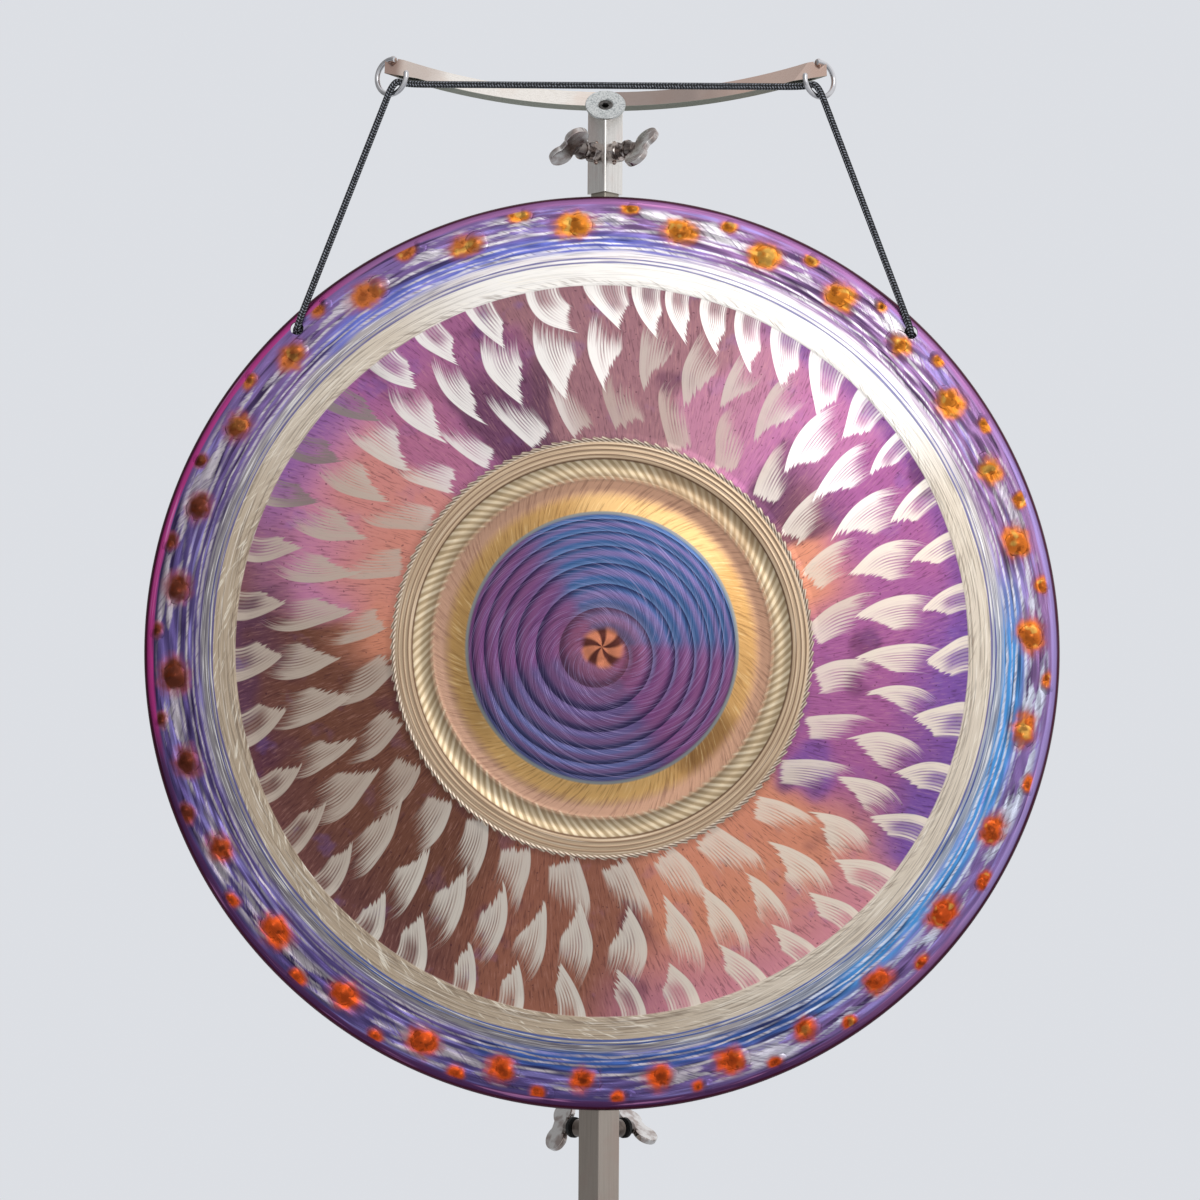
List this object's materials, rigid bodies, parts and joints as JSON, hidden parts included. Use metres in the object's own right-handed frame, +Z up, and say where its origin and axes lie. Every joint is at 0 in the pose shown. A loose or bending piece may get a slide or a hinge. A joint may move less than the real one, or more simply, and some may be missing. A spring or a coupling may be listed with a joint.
{
  "type": "gong on stand",
  "caption": "Round bronze gong with a ground and heat-tinted face, hung by a black cord from the open rings of a bow on a square telescoping mast with a cross foot.",
  "frame": {"origin": "on the floor under the axis of the mast, the centre of the footprint", "axes": "+Z up along the mast, the gong's face looks along -Y, +X to the right of someone who faces it"},
  "size_m": [0.6639, 0.5182, 1.461],
  "materials": {
    "gong_bronze": "hammered, turned, ground and heat-tinted",
    "ground_steel": "ground satin",
    "polished_wire": "polished",
    "weld_metal": "weld bead with heat tint",
    "satin_washer": "satin",
    "black_steel": "blackened",
    "cast_wing": "smooth plated",
    "steel_hardware": "plated",
    "black_cord": "braided",
    "black_plastic": "matte",
    "black_rubber": "matte"
  },
  "bodies": {
    "base": {"lower_mast": "ground_steel", "mast_boss_left": "steel_hardware", "mast_boss_right": "steel_hardware", "base_socket": "ground_steel", "base_plate": "ground_steel", "socket_nut": "steel_hardware", "leg_front_left": "ground_steel", "leg_front_right": "ground_steel", "leg_rear_left": "ground_steel", "leg_rear_right": "ground_steel", "leg_cap_front_left": "black_plastic", "leg_cap_front_right": "black_plastic", "leg_cap_rear_left": "black_plastic", "leg_cap_rear_right": "black_plastic", "foot_front_left": "black_rubber", "foot_front_right": "black_rubber", "foot_rear_left": "black_rubber", "foot_rear_right": "black_rubber"},
    "mast": {"inner_mast": "ground_steel", "inner_mast_plug": "black_plastic"},
    "arm": {"top_sleeve": "ground_steel", "seat_block": "ground_steel", "sleeve_nut_left": "steel_hardware", "sleeve_nut_right": "steel_hardware", "sleeve_nut_welds": "weld_metal", "hanger_bow": "ground_steel", "bow_washer": "satin_washer", "bow_screw": "black_steel", "hook_ring_left": "polished_wire", "hook_ring_right": "polished_wire", "ring_weld_beads": "weld_metal", "cord_level": "black_cord"},
    "gong": {"gong": "gong_bronze", "cord_drop_left": "black_cord", "cord_drop_right": "black_cord", "cord_knot_left": "black_cord", "cord_knot_right": "black_cord"},
    "sleeve_bolt_left": {"sleeve_wing_bolt_left": "cast_wing", "sleeve_lock_washer_left": "steel_hardware"},
    "sleeve_bolt_right": {"sleeve_wing_bolt_right": "cast_wing", "sleeve_lock_washer_right": "steel_hardware"},
    "mast_bolt_left": {"mast_wing_bolt_left": "cast_wing", "mast_washer_left": "black_rubber"},
    "mast_bolt_right": {"mast_wing_bolt_right": "cast_wing", "mast_washer_right": "black_rubber"},
    "socket_bolt": {"socket_wing_bolt": "cast_wing", "socket_lock_washer": "steel_hardware"}
  },
  "joints": [
    {"name": "mast_slide", "type": "slide", "parent": "base", "child": "mast", "axis": [0, 0, 1], "range_m": [-0.4, 0.2]},
    {"name": "arm_slide", "type": "slide", "parent": "mast", "child": "arm", "axis": [0, 0, 1], "range_m": [0, 0.008]},
    {"name": "gong_swing", "type": "hinge", "parent": "arm", "child": "gong", "pos_m": [0, -0.03243, 1.4321], "axis": [-1, 0, 0], "range_deg": [-0.4, 20]},
    {"name": "sleeve_bolt_left_turn", "type": "hinge", "parent": "arm", "child": "sleeve_bolt_left", "pos_m": [0, 0, 1.394], "axis": [-0.7071, -0.7071, 0], "continuous": true},
    {"name": "sleeve_bolt_right_turn", "type": "hinge", "parent": "arm", "child": "sleeve_bolt_right", "pos_m": [0, 0, 1.394], "axis": [0.7071, -0.7071, 0], "continuous": true},
    {"name": "mast_bolt_left_turn", "type": "hinge", "parent": "base", "child": "mast_bolt_left", "pos_m": [0, 0, 0.677], "axis": [-0.7071, 0.7071, 0], "continuous": true},
    {"name": "mast_bolt_right_turn", "type": "hinge", "parent": "base", "child": "mast_bolt_right", "pos_m": [0, 0, 0.677], "axis": [0.7071, 0.7071, 0], "continuous": true},
    {"name": "socket_bolt_turn", "type": "hinge", "parent": "base", "child": "socket_bolt", "pos_m": [0, 0, 0.098], "axis": [0.7071, 0.7071, 0], "continuous": true}
  ]
}
